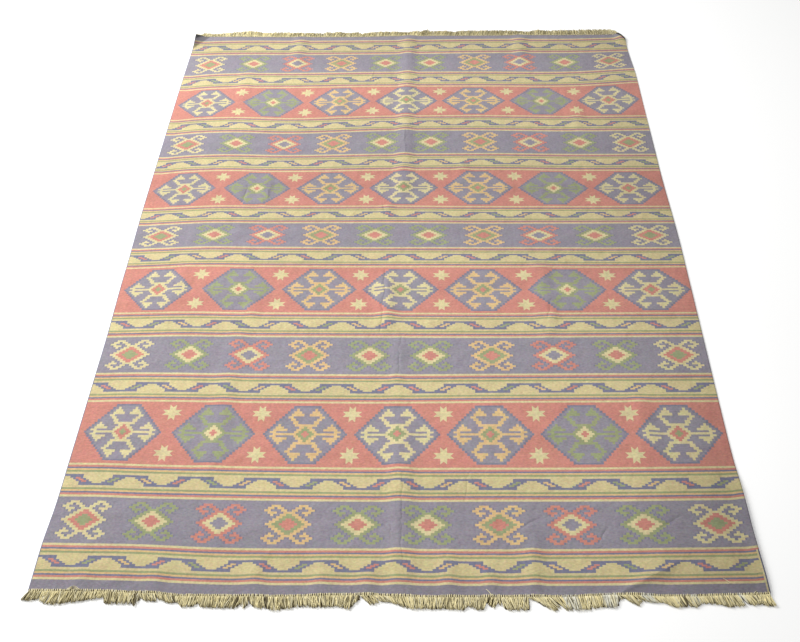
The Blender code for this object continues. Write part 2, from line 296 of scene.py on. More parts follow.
# Dyes of each motif from the left selvedge
MotifDyes = namedtuple("MotifDyes", "frame ring centre")
CREAM_MOTIF = MotifDyes("cream", "coral", "green")
GREEN_MOTIF = MotifDyes("green", "cream", "coral")
CORAL_MOTIF = MotifDyes("coral", "cream", "violet")
ORANGE_MOTIF = MotifDyes("orange", "green", "coral")
MIDDLE_MOTIF = MotifDyes("cream", "green", "coral")
HALF_ROW = (CREAM_MOTIF, GREEN_MOTIF, CORAL_MOTIF, ORANGE_MOTIF, GREEN_MOTIF)
DIAMOND_DYES = HALF_ROW + HALF_ROW[::-1]
SIDE_MEDALLIONS = (CREAM_MOTIF, GREEN_MOTIF, ORANGE_MOTIF)
MEDALLION_DYES = SIDE_MEDALLIONS + (MIDDLE_MOTIF,) + SIDE_MEDALLIONS[::-1]

# How much lighter or darker the wool is made at places along the rug
TONE_ALONG_RUG = rows_of(
    EdgePoint, PLAIN, (0, 1), (0.52, 1.01), (1.24, 1.01), (1.546, 0.97), (1.65, 0.9), (1.75, 0.94),
    (2, 0.97), (2.26, 1.03), (2.47, 1.03), (2.6, 0.94), (2.708, 0.92))

# Painted shade, shadow and highlight along the selvedges and the turned-under corner
# Painted shade along the side of the left selvedge
LEFT_SELVEDGE_PAINTED_SHADE = 0.0028
# Near right: a cream line, partly yarn, partly painted highlight, and a painted shadow outside it
RIGHT_EDGE_YARN_AND_PAINTED_LIGHT = 0.0080
RIGHT_EDGE_YARN_AND_PAINTED_LIGHT_REACH = 0.10
# Widths of the painted shade at the right edge and of the painted shadow along the cut corner
RIGHT_EDGE_SHADE = 0.0030
FOLD_SHADE = 0.0090

# The chart's numbers are stored in shader ramps as shares of this many columns
CHART_SPAN = 16.0

# Unevenness: how far it varies, its waves a metre, their detail, and its stretch across and along
Uneven = namedtuple("Uneven", "amount scale detail stretch", defaults=(2.0, (1.0, 1.0)))
YARN_TONES = (
    Uneven(0.30, 120.0, 3.0),
    Uneven(0.50, 210.0, 3.0, (0.6, 1.0)),
    Uneven(0.24, 12.0, 2.0, (0.2, 1.0)),
    Uneven(0.18, 45.0),
)
HEATHER = Uneven(0.34, 210.0, 3.0, (0.7, 1.0))
CLOUD = Uneven(0.10, 22.0)
FUZZ = Uneven(0.5, 900.0, 3.0)
WARP_WANDER = Uneven(0.0024, 41.0)
WEFT_WANDER = Uneven(0.0018, 130.0)
CREASE_SWAY = Uneven(0.022, 16.0, 1.0)
CREASE_SHAKE = Uneven(0.008, 60.0, 1.0)
PUCKER = Uneven(0.0050, 22.0)
FRINGE_MOTTLE = Uneven(0.5, 240.0, 3.0)
FRINGE_FIBRE = Uneven(1.0, 1400.0)

# Shares of the ribs, and of the picks that pass over them, in the weave's relief
RIB_SHARE = 0.45
PICK_SHARE = 0.55

# Strength and height of the relief of the weave, the creases and the yarn's fibres
WEAVE_BUMP = (0.5, 0.0008)
CREASE_BUMP = (1.0, 1.0)
FIBRE_BUMP = (0.4, 0.0005)

# Painted shade: how deep each is, and the measures over which it grows from none to full
Growth = namedtuple("Growth", "measure start stop")
SHADES = (
    # Painted shade of the curled far left corner, of its side by the left edge and of its tip
    (0.46, Growth("curled corner", 1.04, 0.90)),
    (0.25, Growth("along", 2.615, 2.640), Growth("across", 0.016, 0.002)),
    (0.88, Growth("curled tip", 2.690, 2.700)),
    # Painted shade where the light falls off towards the near right and along the right side
    (0.16, Growth("across", 1.50, 1.80), Growth("along", 0.75, 0.30)),
    (0.08, Growth("across", 1.55, 1.80)),
)
CURL_ACROSS = 0.052
CURL_ALONG = 0.090
CURL_END = 2.715
# Depths of the painted shadow along the cut and of the painted shade at the right edge
CUT_SHADE = 0.85
RIGHT_SHADE = 0.28
# How much darker the near end band is made
END_BAND_DARKENING = 0.10

# Painted shade beside the crease from the near end towards the right selvedge
BESIDE_CREASE = (
    Growth("beside", 0.000, 0.006),
    Growth("beside", 0.040, 0.006),
    Growth("beyond", 0.22, 0.10),
)
CREASE_SHADE = 0.10
CREASE_END_SHADE = 0.16
BY_NEAR_END = Growth("along", 0.035, 0.010)
BESIDE_RIGHT_EDGE = Growth("along", 2.10, 1.80)


# Sizes and colours that a user may change

def length_property(name, description, default, least=0.0):
    return bpy.props.FloatProperty(
        name=name, description=description, default=default, min=least, unit="LENGTH")


def dye_property(name, description, *colour):
    """Colour property whose default is three display values from 0 to 255."""
    def linear(value):
        value /= 255
        return value / 12.92 if value <= 0.04045 else ((value + 0.055) / 1.055) ** 2.4
    return bpy.props.FloatVectorProperty(
        name=name, description=description, subtype="COLOR", size=3, min=0.0, max=1.0,
        default=[linear(value) for value in colour])


class KilimSizes(bpy.types.PropertyGroup):
    """Sizes of the cloth's surface and its fringes."""

    rib_spacing: length_property("Rib spacing", "Distance between two warps", 0.0033, 0.001)
    weft_spacing: length_property(
        "Weft spacing", "Distance between two picks of the weft", 0.0012, 0.0004)
    undulation: length_property(
        "Undulation", "Height of the cloth's slow waves over the floor", 0.0012)
    root_count: bpy.props.IntProperty(
        name="Roots", description="Warp ends along each end of the cloth", default=330, min=20)


class KilimDyes(bpy.types.PropertyGroup):
    """Colours of the yarns."""

    violet: dye_property("Violet", "Grey violet ground", 150, 144, 154)
    # The ribbon dye also paints the shade of the slits and the shadow lines at the selvedges
    ribbon: dye_property(
        "Ribbon", "Blue violet of ribbons, stripes and shaded slits", 127, 127, 148)
    coral: dye_property("Coral", "Faded coral red", 206, 139, 125)
    cream: dye_property("Cream", "Pale yellow of stripes, stars and frames", 218, 205, 157)
    straw: dye_property("Straw", "Ground of the meander bands", 213, 198, 149)
    orange: dye_property("Orange", "Soft orange", 221, 188, 136)
    green: dye_property("Green", "Sage green", 158, 164, 123)
    slate: dye_property("Slate", "Blue grey outline of the medallions", 131, 131, 147)
    fringe: dye_property("Fringe", "Unbleached warp yarn", 250, 237, 184)
    # Dark end of the yarn's tones: random darker strands and painted shade deep in the fringe
    fringe_shade: dye_property("Fringe shade", "Warp yarn deep in the fringe", 74, 60, 34)
    fringe_pale: dye_property("Pale fringe", "Bleached warp yarn", 238, 236, 220)
    floor: dye_property("Floor", "Pale floor", 249, 249, 248)


def dye(name):
    return tuple(getattr(bpy.context.scene.kilim_dyes, name))


# Shader signals

def math_method(operation):
    """Method that puts a math node on a signal."""
    def method(self, *others):
        return self.math(operation, *others)
    return method


class Signal:
    """A value in a node tree. Arithmetic on it adds the nodes that work it out."""

    def __init__(self, tree, socket):
        self.tree = tree
        self.socket = socket

    def math(self, operation, *others):
        node = self.tree.nodes.new("ShaderNodeMath")
        node.operation = operation
        for slot, value in zip(node.inputs, (self, *others)):
            feed(self.tree, slot, value)
        return Signal(self.tree, node.outputs[0])

    def __rsub__(self, other):
        return self * -1.0 + other

    def held(self):
        """The same value, held from 0 to 1."""
        return self.most(0.0).least(1.0)

    __add__ = math_method("ADD")
    __sub__ = math_method("SUBTRACT")
    __mul__ = math_method("MULTIPLY")
    __truediv__ = math_method("DIVIDE")
    __mod__ = math_method("FLOORED_MODULO")
    __lt__ = math_method("LESS_THAN")
    __gt__ = math_method("GREATER_THAN")
    __and__ = math_method("MULTIPLY")
    __or__ = math_method("MAXIMUM")
    __abs__ = math_method("ABSOLUTE")
    floor = math_method("FLOOR")
    fraction = math_method("FRACT")
    sign = math_method("SIGN")
    sine = math_method("SINE")
    least = math_method("MINIMUM")
    most = math_method("MAXIMUM")


def feed(tree, slot, value):
    """Links a signal to a socket, or sets a plain value on it."""
    if isinstance(value, Signal):
        tree.links.new(value.socket, slot)
    elif slot.type == "RGBA" and len(value) == 3:
        slot.default_value = (*value, 1.0)
    else:
        slot.default_value = value


def between(value, start, stop):
    return (value > start) & (value < stop)


def blend(share, under, over, mode="MIX"):
    """Colour that goes from under to over as share goes from 0 to 1."""
    tree = share.tree if isinstance(share, Signal) else under.tree
    node = tree.nodes.new("ShaderNodeMix")
    node.data_type = "RGBA"
    node.blend_type = mode
    feed(tree, node.inputs["Factor"], share)
    feed(tree, node.inputs[6], under)
    feed(tree, node.inputs[7], over)
    return Signal(tree, node.outputs[2])


def ramp(place, rows, steps="CONSTANT"):
    """Colour of the row that place falls in. Rows are (start, colour)."""
    node = place.tree.nodes.new("ShaderNodeValToRGB")
    table = node.color_ramp
    table.interpolation = steps
    while len(table.elements) < len(rows):
        table.elements.new(0.999)
    for element, (start, colour) in zip(table.elements, rows):
        element.position = start
        element.color = (*colour, 1.0)
    feed(place.tree, node.inputs["Fac"], place)
    return Signal(place.tree, node.outputs["Color"])


def parts_of(signal, kind="Color"):
    """The channels of a colour, or with XYZ the axes of a place, as signals."""
    node = signal.tree.nodes.new("ShaderNodeSeparate" + kind)
    feed(signal.tree, node.inputs[0], signal)
    return [Signal(signal.tree, socket) for socket in node.outputs]


def along_table(place, table, span):
    """Value of a table at a place, going evenly from one row to the next."""
    rows = [(point.at / span, (point.offset,) * 3) for point in table]
    return parts_of(ramp(place / span, rows, "LINEAR"))[0]


def chart_columns(height, reaches, columns):
    """Looks up a motif's chart: for a height from its middle, the row's value of each column.

    reaches holds each row's outer height, and columns a list of values for each wanted column.
    """
    total = reaches[-1]
    starts = [0.0] + [reach / total for reach in reaches[:-1]]
    place = height / total
    padded = columns + [[0.0] * len(reaches)] * 2
    found = []
    for first in range(0, len(columns), 3):
        rows = [
            (start, [values[row] / CHART_SPAN for values in padded[first:first + 3]])
            for row, start in enumerate(starts)
        ]
        found += [part * CHART_SPAN for part in parts_of(ramp(place, rows))]
    return found[:len(columns)]


def motif_index(turns, count):
    """Number of the motif that a place falls in, counted from the left."""
    return turns.floor().most(0.0).least(count - 1.0)


def by_motif(index, colours):
    """Colour of the motif with that index."""
    count = len(colours)
    rows = [(number / count, colour) for number, colour in enumerate(colours)]
    return ramp((index + 0.5) / count, rows)


def dyed_motifs(colour, masks, index, motifs):
    """Lays the motifs' frames, rings and centres over a colour, each motif in its own dyes."""
    for mask, names in zip(masks, zip(*motifs)):
        colour = blend(mask, colour, by_motif(index, [dye(name) for name in names]))
    return colour


def add_socket(tree, label, direction):
    kinds = {"Place": "NodeSocketVector", "Colour": "NodeSocketColor"}
    kind = kinds.get(label, "NodeSocketFloat")
    tree.interface.new_socket(label, in_out=direction, socket_type=kind)


def new_group(name, *inputs):
    """An empty node group and its named inputs as signals."""
    tree = bpy.data.node_groups.new(name, "ShaderNodeTree")
    for label in inputs:
        add_socket(tree, label, "INPUT")
    source = tree.nodes.new("NodeGroupInput")
    return (tree, *(Signal(tree, source.outputs[label]) for label in inputs))


def give_out(tree, **signals):
    """Ends a node group with its named outputs."""
    for label in signals:
        add_socket(tree, label, "OUTPUT")
    sink = tree.nodes.new("NodeGroupOutput")
    for label, signal in signals.items():
        feed(tree, sink.inputs[label], signal)
    return tree


def place_group(tree, group, *values):
    """Puts a node group into a tree, and gives its outputs as signals."""
    node = tree.nodes.new("ShaderNodeGroup")
    node.node_tree = group
    for slot, value in zip(node.inputs, values):
        feed(tree, slot, value)
    return [Signal(tree, socket) for socket in node.outputs]


def noise_signal(place, noise, output):
    """Noise texture at a place of the plan."""
    tree = place.tree
    mapping = tree.nodes.new("ShaderNodeMapping")
    mapping.inputs["Scale"].default_value = (*noise.stretch, 0.0)
    feed(tree, mapping.inputs["Vector"], place)
    node = tree.nodes.new("ShaderNodeTexNoise")
    node.inputs["Scale"].default_value = noise.scale
    node.inputs["Detail"].default_value = noise.detail
    tree.links.new(mapping.outputs[0], node.inputs["Vector"])
    return Signal(tree, node.outputs[output])


def uneven(place, noise):
    """Smooth noise, as much under 0 as over it."""
    return (noise_signal(place, noise, 0) - 0.5) * noise.amount


def uneven_colours(place, noise):
    """Three unlike noises, as much under 0 as over it."""
    return [(part - 0.5) * noise.amount for part in parts_of(noise_signal(place, noise, 1))]


def bumped(height, bump, under=None):
    """Normal that shows a height, over the normal under it."""
    node = height.tree.nodes.new("ShaderNodeBump")
    node.inputs["Strength"].default_value, node.inputs["Distance"].default_value = bump
    feed(height.tree, node.inputs["Height"], height)
    if under is not None:
        feed(height.tree, node.inputs["Normal"], under)
    return Signal(height.tree, node.outputs[0])


# Woven patterns

def meander_group():
    """A striped band with a stepped ribbon winding along its middle."""
    tree, across, height, turned = new_group("kilim_meander", "Across", "Height", "Turned")
    reach = abs(height)
    colour = dye("cream")
    for stripe in MEANDER_STRIPES:
        colour = blend(reach < stripe.reach, colour, dye(stripe.dye))
    turns = (across - MEANDER_START) / MEANDER_PITCH
    phase = (turns + turned * 0.5).fraction()
    slope = (abs(phase - 0.5) * 2.0 - 0.5) * (MEANDER_PITCH / 2)
    row = (height / RIBBON_ROW).floor().most(-2.0).least(1.0) + 0.5
    beside = abs(slope - row * RIBBON_STEP)
    inner_reach = 2 * RIBBON_ROW
    flat = (reach < RIBBON_REACH) & (reach > inner_reach)
    flat = flat & (slope * height.sign() > -RIBBON_OVERLAP)
    ribbon = ((reach < inner_reach) & (beside < RIBBON_HALF_WIDTH)) | flat
    colour = blend(ribbon, colour, dye("ribbon"))
    insets = [dye(INSET_DYES[letter]) for letter in RIBBON_INSETS]
    index = motif_index(turns * 2.0, len(insets))
    inset_row = (height / INSET_ROW + 0.5).floor()
    inset = (reach < INSET_ROW * 1.5) & (abs(slope - inset_row * RIBBON_STEP) < INSET_HALF_WIDTH)
    return give_out(tree, Colour=blend(inset, colour, by_motif(index, insets)))


def hooked_diamond_group():
    """A violet band with a row of hooked diamonds."""
    tree, across, height = new_group("kilim_hooked_diamonds", "Across", "Height")
    turns = (across - MEANDER_START) / MEANDER_PITCH
    index = motif_index(turns, len(DIAMOND_DYES))
    column = abs(turns - index - 0.5) * (MEANDER_PITCH / HOOKED_COLUMN)
    reach = abs(height)
    reaches = [HOOKED_ROW * (number + 0.5) for number in range(len(HOOKED_DIAMOND))]
    chart = [list(values) for values in zip(*HOOKED_DIAMOND)]
    outer, ring, centre, *spans = chart_columns(reach, reaches, chart)
    within = reach < reaches[-1]
    figure = column < outer
    beside = (column < outer + SLIT_SHADE) & (outer > 0.1)
    for start, stop in (spans[:2], spans[2:]):
        figure = figure | between(column, start, stop)
        beside = beside | (between(column, start - SLIT_SHADE, stop + SLIT_SHADE) & (stop > 0.1))
    # Painted shade of the slits: the ground beside a motif is blended towards the ribbon dye
    ground = blend(beside & within & SLIT_DEPTH, dye("violet"), dye("ribbon"))
    masks = [mask & within for mask in (figure, column < ring, column < centre)]
    return give_out(tree, Colour=dyed_motifs(ground, masks, index, DIAMOND_DYES))


def medallion_group():
    """A coral band with a row of stepped medallions and pairs of stars between them."""
    tree, across, height = new_group("kilim_medallions", "Across", "Height")
    count = len(MEDALLION_DYES)
    turns = (across - MEDALLION_START) / MEDALLION_PITCH
    index = motif_index(turns, count)
    narrowing = parts_of(by_motif(index, [(share,) * 3 for share in MEDALLION_NARROWING]))[0]
    column = abs(turns - index - 0.5) * (MEDALLION_PITCH / MEDALLION_COLUMN) / narrowing
    reach = abs(height)
    reaches, *chart = [list(values) for values in zip(*MEDALLION)]
    outline, outer, ring, centre, arm_start, arm_stop = chart_columns(reach, reaches, chart)
    within = reach < reaches[-1]
    colour = blend((column < outline) & within, dye("coral"), dye("slate"))
    field = (column < outline - MEDALLION_RIM) & (reach < reaches[-1] - MEDALLION_END_RIM)
    colour = blend(field, colour, dye("violet"))
    figure = (column < outer) | between(column, arm_start, arm_stop)
    masks = [mask & within for mask in (figure, column < ring, column < centre)]
    colour = dyed_motifs(colour, masks, index, MEDALLION_DYES)
    nearest = (turns + 0.5).floor().most(1.0).least(count - 1.0)
    star_x = abs(turns - nearest) * MEDALLION_PITCH
    star_y = abs(reach - STAR_HEIGHT)

    def star_bar(beside, ahead):
        depth = (STAR_BAR - beside).most(0.0) * (STAR_NOTCH / STAR_BAR)
        return (beside < STAR_BAR) & (ahead + depth < STAR_REACH)

    star = star_bar(star_x, star_y) | star_bar(star_y, star_x)
    return give_out(tree, Colour=blend(star, colour, dye("cream")))


def weave_group():
    """Ribs of a weft-faced cloth, as a height from 0 to 1, and its yarns' uneven colour."""
    tree, place, rib, weft = new_group("kilim_weave", "Place", "Rib", "Weft")
    across, along, _ = parts_of(place, "XYZ")
    warps = across / rib * math.pi
    picks = along / weft
    over = abs((warps + (picks.floor() % 2.0) * (math.pi / 2)).sine())
    crown = abs((picks * math.pi).sine())
    height = abs(warps.sine()) * RIB_SHARE + over * crown * PICK_SHARE + uneven(place, FUZZ)
    base = uneven(place, YARN_TONES[0]) + 1.0
    for tone in YARN_TONES[1:]:
        base = base + uneven(place, tone)
    combine = tree.nodes.new("ShaderNodeCombineColor")
    clouds = uneven_colours(place, CLOUD)
    for slot, heather, cloud in zip(combine.inputs, uneven_colours(place, HEATHER), clouds):
        feed(tree, slot, base + heather + cloud)
    return give_out(tree, Height=height, Colour=Signal(tree, combine.outputs[0]))


def place_by_line(x, y, line):
    """How far a place is along a line and to its right, and the line's length."""
    run_x = line.to_x - line.from_x
    run_y = line.to_y - line.from_y
    length = math.hypot(run_x, run_y)
    along = (x - line.from_x) * (run_x / length) + (y - line.from_y) * (run_y / length)
    across = (x - line.from_x) * (run_y / length) - (y - line.from_y) * (run_x / length)
    return along, across, length


def wrinkle_group():
    """Small creases of the cloth, as a height in metres: soft at their sides and their ends."""
    tree, place = new_group("kilim_wrinkles", "Place")
    x, y, _ = parts_of(place, "XYZ")
    x = x - PLAN.x + (uneven(place, CREASE_SWAY) + uneven(place, CREASE_SHAKE))
    y = y - PLAN.y
    height = uneven(place, PUCKER)
    for line in WRINKLES:
        along, across, length = place_by_line(x, y, line)
        side = (1.0 - abs(across) / line.half_width).most(0.0)
        ends = (along.least(length - along) / WRINKLE_END_FADE).held()
        height = height + side * side * ends * line.height
    return give_out(tree, Height=height)


def shade_group():
    """Painted shade at the cloth's corners, crease and right edge, and its tone, as a tone."""
    tree, place, from_left, weft = new_group("kilim_shades", "Place", "Across", "Along")
    x, y, _ = parts_of(place, "XYZ")
    x = x - PLAN.x
    y = y - PLAN.y
    beyond, beside, _ = place_by_line(x, y, NEAR_RIGHT_CREASE)
    measures = {
        "across": x, "along": y, "beside": beside, "beyond": beyond, "curled tip": y - x,
        "curled corner": x / CURL_ACROSS + (CURL_END - y) / CURL_ALONG,
    }

    def grown(*growths):
        share = 1.0
        for growth in growths:
            risen = (measures[growth.measure] - growth.start) / (growth.stop - growth.start)
            share = risen.held() * share
        return share

    tone = along_table(y, TONE_ALONG_RUG, LENGTH)
    for depth, *growths in SHADES:
        tone = tone * (grown(*growths) * -depth + 1.0)
    # Painted shade beside the near right crease
    crease = grown(*BESIDE_CREASE) * (grown(BY_NEAR_END) * CREASE_END_SHADE + CREASE_SHADE)
    # Painted shadow along the cut of the turned-under corner
    run = math.hypot(TUCKED_CORNER_ACROSS, TUCKED_CORNER_ALONG)
    corner_x, corner_y = plan_point(np.array(WIDTH), np.array(LENGTH))
    cut_x = float(corner_x) - PLAN.x - TUCKED_CORNER_ACROSS - x
    cut_y = float(corner_y) - PLAN.y - y
    to_cut = cut_x * (TUCKED_CORNER_ALONG / run) + cut_y * (TUCKED_CORNER_ACROSS / run)
    # Painted shade at the right edge
    edge = (from_left > WIDTH - RIGHT_EDGE_SHADE) & grown(BESIDE_RIGHT_EDGE)
    tone = tone * (1.0 - crease) * ((to_cut < FOLD_SHADE) * -CUT_SHADE + 1.0)
    # Painted shade at the right edge, and the near end band made darker
    tone = tone * (edge * -RIGHT_SHADE + 1.0) * ((weft < 0.0) * -END_BAND_DARKENING + 1.0)
    return give_out(tree, Tone=tone)


def new_material(name, values):
    """A material, its node tree, and its shader with plain values on its sockets."""
    material = bpy.data.materials.new(name)
    material.use_nodes = True
    tree = material.node_tree
    shader = tree.nodes["Principled BSDF"]
    for label, value in values.items():
        shader.inputs[label].default_value = value
    return material, tree, shader


def fact_of(tree, label, output="Fac"):
    """Value of a point attribute."""
    attribute = tree.nodes.new("ShaderNodeAttribute")
    attribute.attribute_name = label
    return Signal(tree, attribute.outputs[output])


def object_place(tree):
    return Signal(tree, tree.nodes.new("ShaderNodeTexCoord").outputs["Object"])


def kilim_material():
    """Wool of the woven field, with its bands and motifs."""
    sizes = bpy.context.scene.kilim_sizes
    material, tree, shader = new_material(
        "kilim_wool", {"Roughness": 0.92, "Specular IOR Level": 0.25, "Sheen Weight": 0.15})
    place = fact_of(tree, "weave_place", "Vector")
    across, along, from_left = parts_of(place, "XYZ")
    across = across + uneven(place, WARP_WANDER)
    along = along + uneven(place, WEFT_WANDER)
    cycle = along % CYCLE_HEIGHT
    turned = along > CYCLE_HEIGHT * 2 + MEANDER_HEIGHT + VIOLET_HEIGHT / 2
    second_start = MEANDER_HEIGHT + VIOLET_HEIGHT
    coral_start = second_start + MEANDER_HEIGHT
    second = cycle > second_start
    meander_height = cycle - second * second_start - MEANDER_HEIGHT / 2
    meander, = place_group(tree, meander_group(), across, meander_height, turned)
    diamonds, = place_group(
        tree, hooked_diamond_group(), across, cycle - (MEANDER_HEIGHT + VIOLET_HEIGHT / 2))
    medallions, = place_group(
        tree, medallion_group(), across, cycle - (coral_start + CORAL_HEIGHT / 2))
    colour = blend(between(cycle, MEANDER_HEIGHT, second_start), meander, diamonds)
    colour = blend(cycle > coral_start, colour, medallions)
    total = sum(BAND_HEIGHTS[number % len(BAND_HEIGHTS)] for number in range(len(BANDS)))
    colour = blend((along < 0.0) | (along > total), colour, dye("violet"))
    # Painted shade at the left selvedge; near right, yarn with painted highlight and shadow
    colour = blend(from_left < LEFT_SELVEDGE_PAINTED_SHADE, colour, dye("ribbon"))
    lifted_edge_yarn_and_light = (from_left > WIDTH - RIGHT_EDGE_YARN_AND_PAINTED_LIGHT) & (along < RIGHT_EDGE_YARN_AND_PAINTED_LIGHT_REACH)
    colour = blend(lifted_edge_yarn_and_light, colour, dye("cream"))
    colour = blend((from_left > WIDTH - RIGHT_EDGE_YARN_AND_PAINTED_LIGHT / 2) & lifted_edge_yarn_and_light, colour, dye("ribbon"))
    height, tone = place_group(tree, weave_group(), place, sizes.rib_spacing, sizes.weft_spacing)
    plan = object_place(tree)
    shade, = place_group(tree, shade_group(), plan, from_left, along)
    colour = blend(1.0, blend(1.0, colour, tone, "MULTIPLY"), shade, "MULTIPLY")
    feed(tree, shader.inputs["Base Color"], colour)
    wrinkles, = place_group(tree, wrinkle_group(), plan)
    normal = bumped(height, WEAVE_BUMP, bumped(wrinkles, CREASE_BUMP))
    feed(tree, shader.inputs["Normal"], normal)
    return material


def fringe_material():
    """Unbleached yarn, with painted shade deep in the fringe, each strand with its own tone."""
    material, tree, shader = new_material(
        "fringe_yarn", {"Roughness": 0.9, "Specular IOR Level": 0.25})
    place = object_place(tree)
    tone = (fact_of(tree, "strand_tone") * (uneven(place, FRINGE_MOTTLE) + 1.0)).held()
    plain = blend(tone, dye("fringe_shade"), dye("fringe"))
    bleached = blend(tone, dye("fringe_shade"), dye("fringe_pale"))
    pale = fact_of(tree, "strand_pale").least(1.0)
    feed(tree, shader.inputs["Base Color"], blend(pale, plain, bleached))
    feed(tree, shader.inputs["Normal"], bumped(uneven(place, FRINGE_FIBRE), FIBRE_BUMP))
    return material


# The cloth's plan and relief

def smooth_step(share):
    """Eases from 0 to 1."""
    share = np.clip(share, 0.0, 1.0)
    return share * share * (3.0 - 2.0 * share)


def row_before(stations, at):
    """The last station before each place, the share of the span to the next, and the span."""
    row = np.clip(np.searchsorted(stations, at, side="right") - 1, 0, len(stations) - 2)
    span = stations[row + 1] - stations[row]
    return row, (at - stations[row]) / span, span


def eased(table, at):
    """Offset at places along a table, eased from one row to the next."""
    stations, offsets = np.array(table).T
    row, share, _ = row_before(stations, np.asarray(at, float))
    return offsets[row] + (offsets[row + 1] - offsets[row]) * smooth_step(share)


def plan_point(x, y):
    """Place in the frame's plan of points x across and y along the straight cloth."""
    left = eased(LEFT_SELVEDGE, y)
    right = eased(RIGHT_SELVEDGE, y)
    near = eased(NEAR_END, x)
    far = eased(FAR_END, x)
    return (
        PLAN.x + x + left + (right - left) * x / WIDTH,
        PLAN.y + y + near + (far - near) * y / LENGTH,
    )


def ridge_height(x, y):
    """Height of the cloth's underside over the floor on its creases."""
    height = np.zeros(np.broadcast(x, y).shape)
    for crease in CREASES + RIPPLES:
        along, across, length = place_by_line(x, y, crease)
        profile = np.maximum(1.0 - (across / crease.half_width) ** 2, 0.0) ** 2
        ends = np.minimum(along, length - along) / CREASE_END_FADE
        height = np.maximum(height, crease.height * profile * smooth_step(ends))
    return height


def undulation(x, y):
    """Slow, uneven waves of the cloth, from 0 to 1."""
    waves = (
        np.sin(x * 7.3 + 0.6 * np.sin(y * 2.9 + 1.0)) * np.cos(y * 4.1 + 0.8 * np.sin(x * 3.7))
        + 0.6 * np.sin(x * 15.1 + y * 3.3 + 2.0)
        + 0.5 * np.sin(y * 12.7 - x * 5.9 + 0.7)
    )
    return 0.5 + 0.5 * waves / 2.1


def cloth_rise(x, y, sizes):
    """Height of the cloth's underside over the floor."""
    return ridge_height(x, y) + undulation(x, y) * sizes.undulation


def curve_through(stations, values, at):
    """Smooth curve through a row of values, with level ends."""
    stations = np.asarray(stations)
    slopes = np.gradient(values, stations)
    row, t, span = row_before(stations, np.clip(at, stations[0], stations[-1]))
    return (
        values[row] * (1 + 2 * t) * (1 - t) ** 2
        + values[row + 1] * t * t * (3 - 2 * t)
        + slopes[row] * span * t * (1 - t) ** 2
        - slopes[row + 1] * span * t * t * (1 - t)
    )


def woven_place(x, y):
    """Place on the even weave of points in the rug's plan: across the warps, and up the bands."""
    bows = [curve_through(BOW_STATIONS, row, x) for row in np.array(WEFT_BOW) / MM]
    low = NEAR_EDGE + bows[0]
    row = y - low
    warp = x - eased(WARP_DRIFT, x)
    shift = np.zeros_like(x)
    start = 0.0
    for number, band in enumerate(BANDS):
        high = band.far_edge + bows[(number + 1) // 2]
        height = BAND_HEIGHTS[number % len(BAND_HEIGHTS)]
        within = y > low
        row = np.where(within, start + (y - low) / (high - low) * height, row)
        drift = np.polyval(np.polyfit(DRIFT_STATIONS, band[1:], 2), x)
        shift = np.where(within | (number == 0), drift, shift)
        low = high
        start += height
    row = np.where(y > low, start + y - low, row)
    return warp - shift, row


def put(data, place=(0.0, 0.0, 0.0)):
    """Puts a mesh, a lamp or a camera in the scene."""
    item = bpy.data.objects.new(data.name, data)
    item.location = place
    bpy.context.scene.collection.objects.link(item)
    return item


def put_piece(mesh, material, node):
    """Puts a mesh in the scene as a piece that stands for a solid, on the rug's one body."""
    mesh.shade_smooth()
    mesh.materials.append(material)
    piece = put(mesh)
    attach(piece, "root")
    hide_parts(node)


def add_fact(mesh, label, kind, values):
    """Stores a value or a place for each point of a mesh."""
    attribute = mesh.attributes.new(label, kind, "POINT")
    field = "vector" if kind == "FLOAT_VECTOR" else "value"
    attribute.data.foreach_set(field, values.astype(np.float32).ravel())


# The woven field

EDGE_ROUNDING = 0.0022
EDGE_STATIONS_IN = (0.0, 0.0005, 0.0013, 0.0024, 0.0050)
CELLS_ACROSS = 166
CELLS_ALONG = 252


def sheet_stations(length, cells):
    """Grid lines of the sheet, close together where its edges are rounded."""
    edge = np.array(EDGE_STATIONS_IN)
    inner = np.linspace(edge[-1], length - edge[-1], cells + 1)
    return np.concatenate([edge[:-1], inner, length - edge[-2::-1]])


def cloth_mesh(sizes):
    """Closed sheet on the cloth's folds, its two sides joined along the rounded edge."""
    x, y = np.meshgrid(sheet_stations(WIDTH, CELLS_ACROSS), sheet_stations(LENGTH, CELLS_ALONG))
    plan_x, plan_y = plan_point(x, y)
    inward = np.minimum(np.minimum(x, WIDTH - x), np.minimum(y, LENGTH - y))
    fullness = np.sqrt(1.0 - (1.0 - np.clip(inward / EDGE_ROUNDING, 0.0, 1.0)) ** 2)
    middle = cloth_rise(x, y, sizes) + CLOTH_THICKNESS / 2
    top = np.stack([plan_x, plan_y, middle + CLOTH_THICKNESS / 2 * fullness], axis=-1)
    base = np.stack([plan_x, plan_y, middle - CLOTH_THICKNESS / 2 * fullness], axis=-1)
    rows, columns = x.shape
    upper = np.arange(rows * columns).reshape(rows, columns)
    lower = upper.copy()
    inner = (slice(1, -1), slice(1, -1))
    lower[inner] = np.arange(lower[inner].size).reshape(lower[inner].shape) + rows * columns

    def both_sides(top, base):
        return np.concatenate([top.reshape(-1, 3), base[inner].reshape(-1, 3)])

    def quads(index):
        corners = [index[:-1, :-1], index[:-1, 1:], index[1:, 1:], index[1:, :-1]]
        return np.stack([corner.ravel() for corner in corners], axis=-1)

    faces = np.concatenate([quads(upper), quads(lower)[:, ::-1]])
    mesh = bpy.data.meshes.new("kilim_cloth")
    mesh.from_pydata(both_sides(top, base).tolist(), [], faces.tolist())
    weave = np.stack([*woven_place(plan_x - PLAN.x, plan_y - PLAN.y), x], axis=-1)
    add_fact(mesh, "weave_place", "FLOAT_VECTOR", both_sides(weave, weave))
    return mesh


